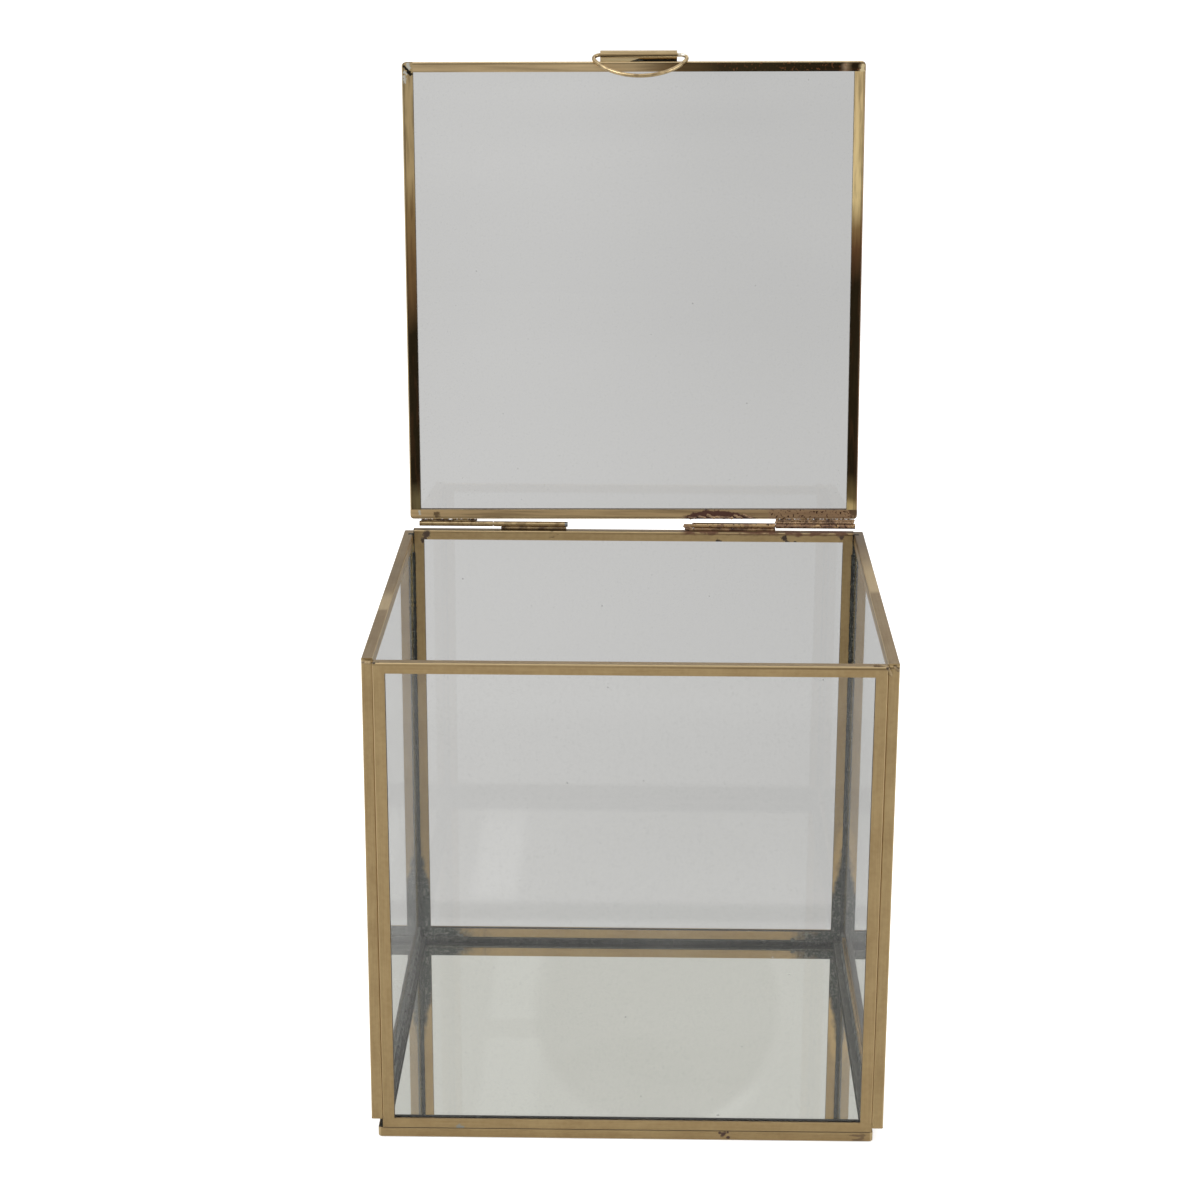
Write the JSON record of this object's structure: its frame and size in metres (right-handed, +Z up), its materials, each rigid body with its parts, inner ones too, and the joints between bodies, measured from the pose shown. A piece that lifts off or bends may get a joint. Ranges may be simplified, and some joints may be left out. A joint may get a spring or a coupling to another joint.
{
  "type": "glass casket box",
  "caption": "Clear glass casket with brass channel edges, mirror base, hinged glass lid standing open and a wire ring pull.",
  "frame": {"origin": "middle of the underside of the base", "axes": "+Z up, front towards -Y, +X to the right seen from the front"},
  "size_m": [0.15, 0.1554, 0.2991],
  "materials": {
    "brass": "aged satin",
    "clear_glass": "clear float glass, faintly dusty",
    "mirror": "silvered glass",
    "solder": "dull grey tin solder"
  },
  "bodies": {
    "box": {"base_mirror": "mirror", "base_channel": "brass", "front_glass": "clear_glass", "front_bottom_channel": "brass", "front_top_channel": "brass", "front_left_channel": "brass", "front_right_channel": "brass", "back_glass": "clear_glass", "back_bottom_channel": "brass", "back_top_channel": "brass", "back_left_channel": "brass", "back_right_channel": "brass", "left_glass": "clear_glass", "left_bottom_channel": "brass", "left_top_channel": "brass", "left_back_channel": "brass", "left_front_channel": "brass", "right_glass": "clear_glass", "right_bottom_channel": "brass", "right_top_channel": "brass", "right_back_channel": "brass", "right_front_channel": "brass", "wall_corner_solder": "solder", "side_foot_solder": "solder", "left_wall_barrel": "brass", "left_hinge_pin": "brass", "right_wall_barrel": "brass", "right_hinge_pin": "brass", "wall_barrel_solder": "solder"},
    "lid": {"lid_glass": "clear_glass", "lid_hinge_channel": "brass", "lid_free_channel": "brass", "lid_left_channel": "brass", "lid_right_channel": "brass", "left_lid_barrel": "brass", "right_lid_barrel": "brass", "lid_barrel_solder": "solder", "pull_tube": "brass", "pull_solder": "solder"},
    "ring": {"pull_ring": "brass"}
  },
  "joints": [
    {"name": "lid_hinge", "type": "hinge", "parent": "box", "child": "lid", "pos_m": [0, 0.0708, 0.1484], "axis": [1, 0, 0], "range_deg": [0, 94]},
    {"name": "ring_swing", "type": "hinge", "parent": "lid", "child": "ring", "pos_m": [0.00062, 0.08217, 0.29758], "axis": [-1, -0.0005, -0.007], "range_deg": [0, 242]}
  ]
}
